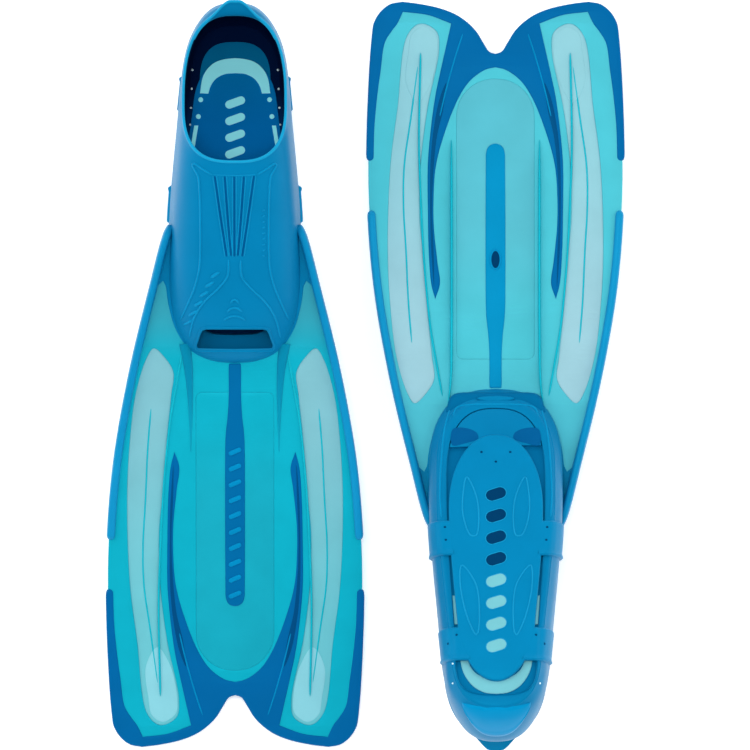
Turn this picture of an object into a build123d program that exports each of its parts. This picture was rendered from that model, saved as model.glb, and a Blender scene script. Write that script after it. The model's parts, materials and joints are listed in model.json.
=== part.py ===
from build123d import *
import os
from math import cos, pi, sin

# A pair of full-foot swim fins, lying side by side: the left one sole down, the right one sole up and
# turned end for end. Both are the same fin. Each is modelled once in the fin's own frame, in millimetres:
#   X across the blade, Y from the heel end (0) to the blade tip, Z towards the top of the foot,
#   with Z = 0 in the middle of the blade's thickness.
# The foot bed slopes down from the toes to the heel by PITCH, and has its own frame (see foot_frame):
#   X across, Y from the heel towards the toes, Z square to the sole, with Z = 0 under the foot bed.

# ---- driving dimensions ----
FIN_LENGTH = 583.0
FIN_SPACING = 201.0  # between the two fins' long axes
PITCH = 16.0  # degrees between the sole and the blade
HEEL_Y, HEEL_Z = 45.0, -76.0  # the foot frame's origin in the fin's frame

BLADE_T = 3.0
TRIM_T = 4.4  # elastomer inserts stand a little proud of the blade, top and bottom
PANEL_DEPTH = 0.7  # thin panels are let into the top of the blade
EDGE_INSET = 1.8  # the bare blade edge lies this far inside the trim and the rails

ROOT_Y = 222.0  # the blade's rear end, beside the pocket
FLEX_Y = 290.0  # the line that the blade bends about, just ahead of the toes
FLEX_GAP = 0.7  # half the gap in the plates at that line
FLEX_GAP_RAIL = 1.8  # half the gap in the rails, which are taller
STRAP_GAP = 0.1

RAIL_W = 6.6
RAIL_REAR_Y, RAIL_END_Y = 178.0, 422.0
RAIL_H_REAR, RAIL_H_END = 8.5, 5.0  # half heights
STRIP_START_Y = 462.0  # where the dark edge strips of the tip begin

WALL = 3.0  # the foot pocket's wall
SOLE_LIP = 3.5  # the pocket's rim below the foot bed, around the sole tray
STRAP_T = 1.8
FLOOR_T = 3.0
INSOLE_T = 1.6

STRINGER_X, STRINGER_W, STRINGER_DEEP = 34.0, 3.4, 4.5
SPINE_HALF = 7.5
TILT_LEFT, TILT_RIGHT = 8.29, -4.285  # how each fin leans as it lies on the floor, about X

# ---- plan outlines, right-hand half, as (x, y) ----
OUTER_EDGE = [(50.0, 170.0), (56.5, 187.0), (65.5, 222.0), (82.3, 292.5), (94.4, 362.7), (99.6, 430.0),
              (99.6, 480.0), (97.1, 538.0), (95.4, 558.0)]
CORNER_END = (72.0, 583.0)
LOBE = [CORNER_END, (42.5, 578.0), (23.0, 568.0), (9.8, 552.0)]
NOTCH = (0.0, 542.5)
LEAF_TOP = (46.6, 352.4)
LEAF_OUT = [LEAF_TOP, (49.6, 364.0), (51.6, 390.0), (52.2, 420.0), (52.3, 455.5), (50.3, 481.0), (46.6, 509.0),
            (42.9, 527.0), (34.2, 566.0)]
PANEL_FOOT = [(34.2, 566.0), (52.0, 572.5), (71.4, 575.0)]
PANEL_SIDE = [(71.4, 575.0), (75.7, 566.0), (85.4, 551.0), (88.5, 530.0), (91.4, 507.7), (93.4, 485.0),
              (94.0, 463.0)]
CHANNEL = [(0.0, 532.0), (8.0, 530.4), (19.1, 522.6), (28.0, 509.0), (39.2, 481.0), (45.9, 455.5),
           (47.8, 429.0), (47.5, 408.0), (44.9, 382.0), (42.6, 364.0), LEAF_TOP]
# The long thin panel in each side channel, and the panel in the middle one.
SIDE_PANEL = [(62.4, 271.8), (68.2, 280.0), (76.5, 308.0), (81.0, 344.0), (83.2, 389.0), (81.0, 455.0),
              (75.7, 500.0), (68.0, 557.0), (58.0, 566.0), (45.5, 560.0), (43.5, 546.0), (52.5, 500.0),
              (57.9, 455.0), (58.6, 415.0), (56.3, 389.0), (52.7, 344.0), (49.0, 308.0), (47.4, 290.5),
              (54.0, 279.0)]
MID_PANEL = (60.0, 217.0)
MID_PANEL_END = 523.0
TOE_SLOT = [(24.0, 257.5), (29.5, 272.0)]
HEEL_PAD = [(0.0, 9.4), (19.0, 19.5), (27.0, 35.0), (0.0, 30.4)]

# ---- the foot pocket's outer shape: slices from the sole up to the ankle opening ----
# Each slice: heel (y, z), front (y, z), largest half width, and how oval it is (0 foot-shaped, 1 oval).
SLICES = [
    ((-8.0, -SOLE_LIP), (238.0, -SOLE_LIP), 45.0, 0.0),
    ((-16.5, 9.0), (250.0, 9.0), 51.0, 0.0),
    ((-22.0, 26.0), (241.0, 26.0), 51.0, 0.1),
    ((-24.5, 42.0), (211.0, 46.0), 47.5, 0.4),
    ((-21.5, 54.0), (158.0, 68.0), 43.5, 0.8),
    ((-14.5, 63.0), (103.0, 88.0), 39.8, 1.0),
    ((-24.8, 78.0), (86.0, 100.0), 38.0, 1.0),  # above the rim, and cut back to leave the heel tab
]
RIM_HEEL, RIM_FRONT = (-14.0, 61.5), (103.0, 87.0)
TAB_HALF, TAB_TOP = 21.0, 74.5
# End caps of a slice: (share of length at the heel, power, share at the front, power, heel width share)
FOOT_ENDS = (0.16, 2.45, 0.25, 2.6, 0.72)
OVAL_ENDS = (0.60, 2.6, 0.40, 2.8, 1.0)
SLICE_POINTS = 32

STRAPS = {"rear": (68.6, 98.0), "front": (154.0, 182.0)}  # along the fin's Y
STRAP_TOP = 27.0  # how far a strap reaches up the pocket's side, above the foot bed


def foot_frame():
    """Where the foot's frame lies in the fin's frame."""
    return Location((0, HEEL_Y, HEEL_Z), (PITCH, 0, 0))


def foot_y(fin_y, foot_z=0.0):
    """The foot frame's Y of a point at this Y in the fin's frame."""
    return (fin_y - HEEL_Y + foot_z * sin(PITCH * pi / 180)) / cos(PITCH * pi / 180)


# ---- plan faces of the blade ----
def mirrored(face):
    return face + mirror(face, Plane.YZ)


def blade_plan(inset, y0, y1):
    """All of the blade between y0 and y1 in plan, with its sides moved in by inset."""
    side = Spline(*[(x - inset, y) for x, y in OUTER_EDGE])
    tip = OUTER_EDGE[-1]
    ends = Polyline(side @ 1, (tip[0] - inset, FIN_LENGTH), (0, FIN_LENGTH), (0, OUTER_EDGE[0][1]), side @ 0)
    return mirrored(make_face(side + ends) & Pos(0, (y0 + y1) / 2) * Rectangle(400, y1 - y0))


def tip_trim_face():
    """The dark elastomer in plan: edge strips, tip rim and the two leaves beside the middle channel."""
    lobe = Spline(*LOBE, tangents=((-1, 0), (-0.45, -1)))
    notch = Spline(LOBE[-1], NOTCH, tangents=((-0.45, -1), (-1, 0)))
    strip_side = Spline(*PANEL_SIDE)
    top = ThreePointArc(PANEL_SIDE[-1], (96.9, STRIP_START_Y - 2.4), (99.7, STRIP_START_Y))
    outer = Spline((99.7, STRIP_START_Y), (99.6, 480.0), (97.1, 538.0), (95.4, 558.0))
    edges = [outer, TangentArc(outer @ 1, CORNER_END, tangent=outer % 1), lobe, notch,
             Line(NOTCH, CHANNEL[0]), Spline(*CHANNEL, tangents=((1, 0), (0.4, -1))),
             Spline(*LEAF_OUT, tangents=((0.25, 1), (-0.22, 1))), Spline(*PANEL_FOOT), strip_side, top]
    wire = edges[0]
    for edge in edges[1:]:
        wire += edge
    return mirrored(make_face(wire))


def spine_face(grow=0.0):
    """The soft strip down the middle of the blade, narrow at the toes, with a round front end."""
    narrow, wide = SPINE_HALF - 2.7, SPINE_HALF
    edge = Spline((narrow + grow, 312.0), (narrow + 0.7 + grow, 322.0), (wide + grow, 343.0))
    right = [Line((narrow + grow, FLEX_Y + FLEX_GAP), (narrow + grow, 312.0)), edge,
             Line((wide + grow, 343.0), (wide + grow, 465.0)),
             ThreePointArc((wide + grow, 465.0), (0.7071 * (wide + grow), 465.0 + 0.7071 * (wide + grow)),
                           (0, 465.0 + wide + grow)),
             Polyline((0, 465.0 + wide + grow), (0, FLEX_Y + FLEX_GAP), (narrow + grow, FLEX_Y + FLEX_GAP))]
    wire = right[0]
    for piece in right[1:]:
        wire += piece
    return mirrored(make_face(wire))


def plate(face, low, high):
    """A flat face given thickness, from one height to another."""
    return Pos(0, 0, low) * extrude(face, high - low, dir=(0, 0, 1))


def stretch(y0, y1):
    """All space between y0 and y1 in the fin's frame."""
    return Pos(0, (y0 + y1) / 2, 0) * Box(400, y1 - y0, 400)


# ---- blade side of the flex line ----
def make_blade(trim, ring):
    """The stiff plastic sheet ahead of the toes, with its thin panels and the ribs beneath it."""
    blade = plate(blade_plan(EDGE_INSET, FLEX_Y + FLEX_GAP, FIN_LENGTH - 7), -BLADE_T / 2, BLADE_T / 2)
    blade -= plate(trim, -10, 10)
    blade = max(blade.solids(), key=lambda s: s.volume)  # what the trim encloses
    blade -= ring
    blade -= plate(spine_face(), -10, 10)
    side = plate(make_face(Spline(*SIDE_PANEL, periodic=True)), BLADE_T / 2 - PANEL_DEPTH, 10)
    side &= stretch(FLEX_Y + 4, FIN_LENGTH)
    blade -= side + mirror(side, Plane.YZ)
    width, length = MID_PANEL
    middle = Pos(0, MID_PANEL_END - length / 2) * RectangleRounded(width, length, width / 2 - 1)
    blade -= plate(middle, BLADE_T / 2 - PANEL_DEPTH / 2, 10)
    for x in (-STRINGER_X, STRINGER_X):
        blade += stringer(x)
    return blade


def stringer(x):
    """A stiffening rib under the blade, deepest at the toes and running out to nothing."""
    start, end = FLEX_Y + 2.5, 476.0
    profile = make_face(Polyline((start, 0.0), (end, 0.0), (end, -BLADE_T / 2 - 0.2),
                                 (start, -BLADE_T / 2 - STRINGER_DEEP), (start, 0.0)))
    rib = extrude(Plane.YZ * profile, STRINGER_W / 2, both=True)
    return Pos(x, 0, 0) * rib


def make_tip_trim(trim):
    return plate(trim, -TRIM_T / 2, TRIM_T / 2)


def make_spine():
    """The middle strip, with raised bars on top and a blind oval slot underneath."""
    spine = plate(spine_face(), -TRIM_T / 2, TRIM_T / 2)
    for i in range(10):
        bar = Pos(0, 352.0 + 12.4 * i) * Rot(0, 0, 24) * SlotOverall(13.0, 4.0)
        spine += plate(bar, 0, TRIM_T / 2 + 0.8)
    slot = Pos(0, 383.0) * Rot(0, 0, 90) * SlotOverall(13.0, 5.0)
    return spine - plate(slot, -TRIM_T, -0.6)


def rail_taper(y0, y1, high0, high1):
    """A wedge that trims the rails to their height, seen from the side."""
    profile = make_face(Polyline((y0, -high0), (y1, -high1), (y1, high1), (y0, high0), (y0, -high0)))
    return extrude(Plane.YZ * profile, 150.0, both=True)


def rail_ring():
    """Both side rails over their whole length: the outermost strip of the blade, with round front ends."""
    y0, y1 = RAIL_REAR_Y, RAIL_END_Y - RAIL_W / 2
    ring = plate(blade_plan(0, y0, y1) - blade_plan(RAIL_W, y0, y1), -RAIL_H_REAR, RAIL_H_REAR)
    end = plate(blade_plan(0, y1 - 0.1, y1), 0, 1).bounding_box().max.X - RAIL_W / 2
    for x in (-end, end):
        ring += Pos(x, y1) * Cylinder(RAIL_W / 2, 2 * RAIL_H_REAR)
    return ring & rail_taper(RAIL_REAR_Y, RAIL_END_Y, RAIL_H_REAR, RAIL_H_END)


# ---- the foot pocket ----
def slice_ends(oval):
    return [a + (b - a) * oval for a, b in zip(FOOT_ENDS, OVAL_ENDS)]


def half_width(t, ends):
    """A slice's half width at t, from 0 at the heel to 1 at the front, as a share of its largest."""
    heel, heel_power, front, front_power, heel_share = ends
    s = min(t / 0.7, 1.0)
    width = heel_share + (1 - heel_share) * s * s * (3 - 2 * s)
    if t < heel:
        width *= (1 - (1 - t / heel) ** heel_power) ** (1 / heel_power)
    if t > 1 - front:
        width *= max(1 - ((t - 1 + front) / front) ** front_power, 0.0) ** (1 / front_power)
    return width


def slice_face(heel, front, width, oval):
    """One closed slice of the pocket, on the plane through its heel and front points."""
    run = Vector(0, front[0] - heel[0], front[1] - heel[1])
    length = run.length
    plane = Plane(origin=(0, heel[0], heel[1]), x_dir=(1, 0, 0), z_dir=Vector(1, 0, 0).cross(run))
    ends = slice_ends(oval)
    points = []
    for i in range(SLICE_POINTS):
        turn = 2 * pi * i / SLICE_POINTS
        t = (1 - cos(turn)) / 2
        side = 1 if turn < pi else -1
        points.append((side * width * half_width(t, ends), length * t))
    return plane * make_face(Spline(*points, periodic=True))


def pocket_solid(grow=0.0, floor=None, top_rise=0.0):
    """The pocket's outer shape grown by grow in the foot frame. floor starts it at that height instead."""
    faces = []
    for i, (heel, front, width, oval) in enumerate(SLICES):
        heel_z, front_z = heel[1], front[1]
        if i == 0:
            heel_z = front_z = heel_z - grow if floor is None else floor
        if i == len(SLICES) - 1:
            heel_z, front_z = heel_z + top_rise, front_z + top_rise
        faces.append(slice_face((heel[0] - grow, heel_z), (front[0] + grow, front_z), width + grow, oval))
    return loft(faces)


def foot_slab(fin_y0, fin_y1, low, high):
    """A box in the foot frame between two Ys of the fin's frame and two heights."""
    y0, y1 = foot_y(fin_y0), foot_y(fin_y1)
    return Pos(0, (y0 + y1) / 2, (low + high) / 2) * Box(300, y1 - y0, high - low)


def foot_outline(heel_y, toe_y, width, ends=FOOT_ENDS):
    """A flat foot-shaped face in the foot frame's XY plane."""
    points = []
    for i in range(SLICE_POINTS):
        turn = 2 * pi * i / SLICE_POINTS
        t = (1 - cos(turn)) / 2
        side = 1 if turn < pi else -1
        points.append((side * width * half_width(t, ends), heel_y + (toe_y - heel_y) * t))
    return make_face(Spline(*points, periodic=True))


def above_rim():
    """All that lies above the ankle rim, apart from the heel tab."""
    slope = Vector(0, RIM_FRONT[0] - RIM_HEEL[0], RIM_FRONT[1] - RIM_HEEL[1])
    plane = Plane(origin=(0, RIM_HEEL[0], RIM_HEEL[1]), x_dir=(1, 0, 0), z_dir=Vector(1, 0, 0).cross(slope))
    over = plane * extrude(Pos(0, 60) * Rectangle(200, 260), 80)
    base = RIM_HEEL[1] - 6
    tab = make_face(Spline((-TAB_HALF, base + 4), (-12, TAB_TOP - 5), (0, TAB_TOP), (12, TAB_TOP - 5),
                           (TAB_HALF, base + 4)) + Polyline((TAB_HALF, base + 4), (0, base - 20),
                                                            (-TAB_HALF, base + 4)))
    tab_prism = Pos(0, 5, 0) * extrude(Plane.XZ * tab, 60)
    return over - tab_prism


def tray_face():
    return foot_outline(-4.5, 230.0, 38.0, (0.10, 3.6, 0.25, 2.6, 0.84))


def make_pocket(outside, ring):
    """The soft shoe: wall, heel tab, toe slot, the web beside it and the rear ends of the rails."""
    web = plate(blade_plan(1.0, RAIL_REAR_Y - 4, ROOT_Y), -2.0, 2.0)
    body = outside + web + (ring & stretch(0, FLEX_Y - FLEX_GAP_RAIL))
    hollow = pocket_solid(-WALL, FLOOR_T, top_rise=6.0) + above_rim()
    hollow += plate(tray_face(), -SOLE_LIP - 1, 0)
    hollow += plate(sole_frame_face(), -1, FLOOR_T + 1)
    body -= foot_frame() * hollow
    slot = mirrored(make_face(Polyline((0, TOE_SLOT[0][1]), *TOE_SLOT, (0, TOE_SLOT[1][1]),
                                       (0, TOE_SLOT[0][1]))))
    return body - plate(slot, -1.0, 60.0)


def sole_frame_face():
    return foot_outline(-3.6, 226.0, 35.0, (0.14, 2.1, 0.25, 2.6, 0.80))


def window_bars(first, count, step, length=15.0, width=4.6):
    """A row of slanted slots along the foot's middle line, in plan."""
    bars = Pos(0, first) * Rot(0, 0, 20) * SlotOverall(length, width)
    for i in range(1, count):
        bars += Pos(0, first + step * i) * Rot(0, 0, 20) * SlotOverall(length, width)
    return bars


def outsole_face(grow=0.0):
    return foot_outline(8.0 - grow, 208.0 + grow, 36.0 + grow, (0.22, 2.0, 0.30, 2.1, 0.76))


def make_sole_parts():
    """The stiff frame under the foot, and the soft pads above and below it, in the foot frame."""
    frame = plate(sole_frame_face(), 0, FLOOR_T)
    bars = window_bars(foot_y(80.0), 9, 12.4)
    outsole = plate(outsole_face(), -SOLE_LIP - STRAP_T, 0) - plate(bars, -10, 0)
    pad = plate(foot_outline(8.5, 222.0, 29.0, (0.14, 2.0, 0.25, 2.4, 0.78)), FLOOR_T, FLOOR_T + INSOLE_T)
    return frame, outsole, pad - plate(bars, 0, 10)


def make_strap_pair(y0, y1, outside):
    """A left and a right strap that bridge from the outsole, round the edge and up the pocket's side."""
    wrap = pocket_solid(STRAP_T) & foot_slab(y0, y1, -20.0, STRAP_TOP)
    wrap -= outside
    wrap -= plate(outsole_face(STRAP_GAP), -20, 0)
    return sorted(wrap.solids(), key=lambda s: s.center().X)


def make_heel_pad(outside):
    """The half-moon tread on the back of the heel, where the fin stands when it is worn."""
    outer, ends = HEEL_PAD[1], HEEL_PAD[2]
    face = mirrored(make_face(Spline(HEEL_PAD[0], outer, ends, tangents=((1, 0), (0.2, 1)))
                              + Spline(ends, HEEL_PAD[3], tangents=((-1, -0.3), (-1, 0)))
                              + Line(HEEL_PAD[3], HEEL_PAD[0])))
    pad = (foot_frame() * pocket_solid(1.6)) & plate(face, -120, HEEL_Z + 25)
    return pad - outside


def make_blade_root(outside, ring):
    """The blade's rear part, which wraps round the toes and is fixed in the pocket."""
    root = plate(blade_plan(EDGE_INSET, ROOT_Y, FLEX_Y - FLEX_GAP), -BLADE_T / 2, BLADE_T / 2)
    return root - outside - ring


# ---- the fin and the pair ----
def make_fin():
    trim = tip_trim_face()
    ring = rail_ring()
    outer = pocket_solid()
    outside = foot_frame() * outer
    frame, outsole, insole = make_sole_parts()
    rails = ring & stretch(FLEX_Y + FLEX_GAP_RAIL, FIN_LENGTH)
    rail_a, rail_b = sorted(rails.solids(), key=lambda s: s.center().X)
    fin = {
        "foot_pocket": make_pocket(outside, ring),
        "blade_root": make_blade_root(outside, ring),
        "sole_frame": foot_frame() * frame,
        "outsole": foot_frame() * outsole,
        "insole": foot_frame() * insole,
        "heel_tread": make_heel_pad(outside),
        "blade": make_blade(trim, ring),
        "tip_trim": make_tip_trim(trim),
        "blade_spine": make_spine(),
        "side_rail_a": rail_a,
        "side_rail_b": rail_b,
    }
    for place, (y0, y1) in STRAPS.items():
        strap_a, strap_b = make_strap_pair(y0, y1, outer)
        fin[f"{place}_strap_a"] = foot_frame() * strap_a
        fin[f"{place}_strap_b"] = foot_frame() * strap_b
    return fin


def lowest(shapes):
    return min(shape.bounding_box().min.Z for shape in shapes)


def place(fin, turn, x):
    """The fin turned, tilted to lie on the floor, and set at x, with its length centred on Y = 0."""
    turned = {name: turn * shape for name, shape in fin.items()}
    box = Compound(children=[Part() + s for s in turned.values()]).bounding_box()
    shift = Pos(x, -(box.min.Y + box.max.Y) / 2, -box.min.Z)
    return {name: shift * shape for name, shape in turned.items()}, shift * turn


def main():
    os.makedirs("parts", exist_ok=True)
    fin = make_fin()
    left = Rot(TILT_LEFT, 0, 0) * Rot(0, 0, 180)
    right = Rot(TILT_RIGHT, 0, 0) * Rot(0, 180, 0)
    for side, turn, x in (("left", left, -FIN_SPACING / 2), ("right", right, FIN_SPACING / 2)):
        placed, where = place(fin, turn, x)
        for name, shape in placed.items():
            export_step(shape, f"parts/{side}_{name}.step")
        flex = where * Pos(0, FLEX_Y, 0)
        print(side, "flex point", flex.position, "frame", where.position, where.orientation)
        print(side, "pocket low", lowest([placed["foot_pocket"], placed["outsole"], placed["heel_tread"]]),
              "blade low", lowest([placed["blade"], placed["tip_trim"]]))


main()
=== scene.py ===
import json
import math

import bmesh
import bpy
import numpy as np
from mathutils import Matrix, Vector
from mathutils.bvhtree import BVHTree
from mathutils.geometry import tessellate_polygon


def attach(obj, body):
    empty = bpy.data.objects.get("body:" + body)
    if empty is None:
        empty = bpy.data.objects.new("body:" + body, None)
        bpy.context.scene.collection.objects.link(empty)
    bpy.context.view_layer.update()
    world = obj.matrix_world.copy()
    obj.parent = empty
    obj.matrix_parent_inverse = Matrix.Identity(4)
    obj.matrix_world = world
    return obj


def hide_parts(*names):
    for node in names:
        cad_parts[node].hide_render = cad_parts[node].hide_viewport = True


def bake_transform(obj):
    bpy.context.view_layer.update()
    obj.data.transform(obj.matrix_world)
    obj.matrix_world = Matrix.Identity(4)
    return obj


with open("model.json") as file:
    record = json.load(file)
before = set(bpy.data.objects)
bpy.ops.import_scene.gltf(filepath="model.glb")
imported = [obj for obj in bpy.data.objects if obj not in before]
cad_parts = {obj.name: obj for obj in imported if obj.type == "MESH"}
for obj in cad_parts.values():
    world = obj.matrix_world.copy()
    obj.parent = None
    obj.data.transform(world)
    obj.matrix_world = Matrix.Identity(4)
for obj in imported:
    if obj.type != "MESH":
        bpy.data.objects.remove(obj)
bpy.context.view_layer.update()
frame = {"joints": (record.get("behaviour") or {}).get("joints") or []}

# Each fin is built in its own frame, in millimetres, like the CAD: X across, Y from heel to tip, Z up.
# The foot frame is pitched down by PITCH towards the heel. place() then puts a fin's points in the row frame.
PITCH = 16.0
HEEL_Y, HEEL_Z = 45.0, -76.0
FLEX_Y = 290.0
TILT = {"left": 8.29, "right": -4.285}


def turn(axis, degrees):
    c, s = math.cos(math.radians(degrees)), math.sin(math.radians(degrees))
    i, j = {"x": (1, 2), "y": (2, 0), "z": (0, 1)}[axis]
    m = np.eye(3)
    m[i, i] = m[j, j] = c
    m[i, j], m[j, i] = -s, s
    return m


FIN_TURN = {"left": turn("x", TILT["left"]) @ turn("z", 180),
            "right": turn("x", TILT["right"]) @ turn("y", 180)}
FLEX = {j["name"].split()[0]: 1000 * np.array(j["pos_m"]) for j in frame["joints"] if j["type"] == "hinge"}
FIN_ORIGIN = {s: FLEX[s] - FIN_TURN[s] @ np.array([0, FLEX_Y, 0]) for s in FIN_TURN}
FOOT_TURN = turn("x", PITCH)


def place(side, points):
    """Points of a fin's frame, in mm, as points of the row frame, in metres."""
    return (np.asarray(points, float) @ FIN_TURN[side].T + FIN_ORIGIN[side]) / 1000


def foot(points):
    """Points of the foot frame as points of the fin's frame."""
    return np.asarray(points, float) @ FOOT_TURN.T + np.array([0, HEEL_Y, HEEL_Z])


# The upright of the row frame, in the frame of the fin that lies sole down and of the one that lies sole up.
UPRIGHT = {"top": FIN_TURN["left"].T @ np.array([0, 0, 1.0]),
           "sole": FIN_TURN["right"].T @ np.array([0, 0, 1.0])}


def plumb(points, z, face):
    """Plan points of a lying fin, carried up or down to height z of the foot frame, in that frame."""
    p = np.asarray(points, float)
    p = np.column_stack([p, np.zeros(len(p))]) - [0, HEEL_Y, HEEL_Z]
    normal, way = FOOT_TURN[:, 2], UPRIGHT[face]
    run = (z - p @ normal) / (way @ normal)
    return (p + run[:, None] * way) @ FOOT_TURN


def plumb_y(y, z, face):
    return plumb([(0.0, y)], z, face)[0, 1]


# Half thicknesses about the blade's middle plane, in mm, then heights and walls in the foot frame.
PLATE_HALF, MIDDLE_HALF, TRIM_HALF = 1.5, 1.42, 2.2
RAIL_HALF_REAR, RAIL_HALF_FRONT, RAIL_WIDTH_HALF = 8.5, 5.0, 3.3
FLOOR_TOP, INSOLE_TOP, MARK_TOP = 3.0, 3.9, 4.4
SOLE_LOW, STRAP_LOW, TRAY_LOW = -5.3, -3.5, -2.6
WALL, RIM_WALL = 3.0, 1.7
STRAP_T = 1.8
JOIN_GAP = 1e-6  # points this close are one, in metres

# ---- plan outlines of a fin's right-hand half ----
OUTER_EDGE = [(50.0, 170.0), (56.5, 187.0), (65.5, 222.0), (82.3, 292.5), (94.4, 362.7), (99.6, 430.0),
              (99.6, 480.0), (97.1, 538.0), (95.4, 558.0)]
CORNER = [(95.4, 558.0), (94.0, 566.5), (89.0, 575.0), (81.5, 581.0), (72.0, 583.0)]
LOBE = [(72.0, 583.0), (58.0, 581.2), (42.5, 577.8), (30.8, 573.2), (22.4, 567.6), (14.8, 560.0),
        (9.0, 550.6), (4.8, 544.3), (0.0, 542.5)]
LEAF_OUT = [(46.6, 352.4), (49.6, 364.0), (51.6, 390.0), (52.2, 420.0), (52.3, 455.5), (50.3, 481.0),
            (46.6, 509.0), (42.9, 527.0), (34.2, 566.0)]
PANEL_FOOT = [(34.2, 566.0), (52.0, 572.5), (71.4, 575.0)]
PANEL_SIDE = [(71.4, 575.0), (75.7, 566.0), (80.5, 559.5), (85.4, 551.0), (88.5, 530.0), (91.4, 507.7),
              (93.4, 485.0), (94.0, 463.0)]
CHANNEL = [(0.0, 532.0), (8.0, 530.0), (19.1, 522.0), (28.0, 509.0), (39.2, 481.0), (45.9, 455.5),
           (47.8, 429.0), (47.5, 408.0), (44.9, 382.0), (42.9, 364.0), (46.6, 352.4)]
SIDE_PANEL = [(62.4, 271.8), (68.2, 280.0), (76.5, 308.0), (81.0, 344.0), (83.2, 389.0), (81.2, 455.0),
              (75.7, 500.0), (68.0, 557.0), (58.0, 566.0), (45.5, 560.0), (43.5, 546.0), (52.5, 500.0),
              (57.9, 455.0), (58.6, 415.0), (56.3, 389.0), (52.7, 344.0), (49.0, 308.0), (47.4, 290.5),
              (54.0, 279.0)]


def smooth(points, step=1.5, closed=False):
    """A smooth curve through these points, sampled about every step mm."""
    p = np.asarray(points, float)
    if closed:
        p = np.vstack([p[-1:], p, p[:2]])
    else:
        p = np.vstack([2 * p[:1] - p[1:2], p, 2 * p[-1:] - p[-2:-1]])
    out = []
    for a, b, c, d in zip(p, p[1:], p[2:], p[3:]):
        ta, tb, tc = [max(np.linalg.norm(v), 1e-6) ** 0.5 for v in (b - a, c - b, d - c)]
        m1 = (b - a) / ta - (c - a) / (ta + tb) + (c - b) / tb
        m2 = (c - b) / tb - (d - b) / (tb + tc) + (d - c) / tc
        m1, m2 = m1 * tb, m2 * tb
        n = max(int(np.linalg.norm(c - b) / step), 1)
        u = np.arange(n)[:, None] / n
        out.append((2 * u**3 - 3 * u**2 + 1) * b + (u**3 - 2 * u**2 + u) * m1
                   + (-2 * u**3 + 3 * u**2) * c + (u**3 - u**2) * m2)
    if not closed:
        out.append(p[-2:-1])
    return np.vstack(out)


def flip(loop):
    """The mirror image of a loop, running the other way so that it keeps its sense."""
    return (np.asarray(loop) * [-1, 1])[::-1]


def mirror_close(half):
    """A right-hand half, from the middle line round to the middle line, closed with its mirror image."""
    half = np.asarray(half, float)
    other = half[::-1] * [-1, 1]
    keep = np.abs(other[:, 0]) > 1e-6
    return np.vstack([half, other[keep]])


def area(loop):
    x, y = loop[:, 0], loop[:, 1]
    return 0.5 * np.sum(x * np.roll(y, -1) - y * np.roll(x, -1))


def ccw(loop):
    loop = np.asarray(loop, float)
    return loop if area(loop) > 0 else loop[::-1]


def inward(loop):
    """Unit normals in the plane, to the left of the way a loop runs, with corners mitred."""
    edge = np.roll(loop, -1, 0) - loop
    edge /= np.maximum(np.linalg.norm(edge, axis=1), 1e-9)[:, None]
    before = np.roll(edge, 1, 0)
    t = edge + before
    t /= np.maximum(np.linalg.norm(t, axis=1), 1e-9)[:, None]
    n = np.stack([-t[:, 1], t[:, 0]], 1)
    return n / np.maximum(np.sum(t * edge, 1), 0.6)[:, None]


# ---- meshes ----
def slab(loops, z0, z1, r_top=0.6, r_low=0.6, steps=3):
    """A plate with rounded edges. loops[0] is its outline and the rest are holes. Returns (points, faces)."""
    loops = [ccw(loops[0])] + [ccw(h)[::-1] for h in loops[1:]]
    profile = [(r_low * (1 - math.sin(a)), z0 + r_low * (1 - math.cos(a)))
               for a in np.linspace(0, math.pi / 2, steps + 1)]
    profile += [(r_top * (1 - math.cos(a)), z1 - r_top * (1 - math.sin(a)))
                for a in np.linspace(0, math.pi / 2, steps + 1)]
    points, faces, caps = [], [], ([], [])
    start = 0
    for loop in loops:
        n = len(loop)
        normal = inward(loop)
        for inset, z in profile:
            ring = loop + normal * inset
            points.append(np.column_stack([ring, np.full(n, z)]))
        i = np.arange(n)
        j = (i + 1) % n
        for k in range(len(profile) - 1):
            a, b = start + k * n, start + (k + 1) * n
            faces += np.stack([a + i, a + j, b + j, b + i], 1).tolist()
        caps[0].append((start, n))
        caps[1].append((start + (len(profile) - 1) * n, n))
        start += n * len(profile)
    points = np.vstack(points)
    for side, cap in enumerate(caps):
        index = np.concatenate([np.arange(s, s + n) for s, n in cap])
        polys = [[Vector((x, y, 0)) for x, y in points[s:s + n, :2]] for s, n in cap]
        for tri in tessellate_polygon(polys):
            a, b, c = (index[v] for v in tri)
            up = np.cross(points[b, :2] - points[a, :2], points[c, :2] - points[a, :2]) > 0
            faces.append([a, b, c] if up == bool(side) else [a, c, b])
    return points, faces


def sweep(path, section):
    """A closed section swept along a path. section(k) gives the k-th ring's (across, up) points."""
    path = np.asarray(path, float)
    t = np.gradient(path, axis=0)
    t /= np.linalg.norm(t, axis=1)[:, None]
    across = np.stack([t[:, 1], -t[:, 0], np.zeros(len(t))], 1)
    across /= np.linalg.norm(across, axis=1)[:, None]
    up = np.cross(across, t)
    rings = []
    for k in range(len(path)):
        s = section(k)
        rings.append(path[k] + s[:, :1] * across[k] + s[:, 1:] * up[k])
    return skin(rings)


def skin(rings, loop=False):
    """Rings of equal length joined into a surface, which is closed by its two end rings or runs in a loop."""
    n = len(rings[0])
    i = np.arange(n)
    j = (i + 1) % n
    faces = []
    count = len(rings)
    for k in range(count if loop else count - 1):
        a, b = k * n, ((k + 1) % count) * n
        faces += np.stack([a + i, a + j, b + j, b + i], 1).tolist()
    if not loop:
        faces.append(list(range(n))[::-1])
        faces.append(list(range((count - 1) * n, count * n)))
    return np.vstack(rings), faces


def lengths(path):
    """How far along a path each of its points is."""
    return np.concatenate([[0], np.cumsum(np.linalg.norm(np.diff(path, axis=0), axis=1))])


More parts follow.
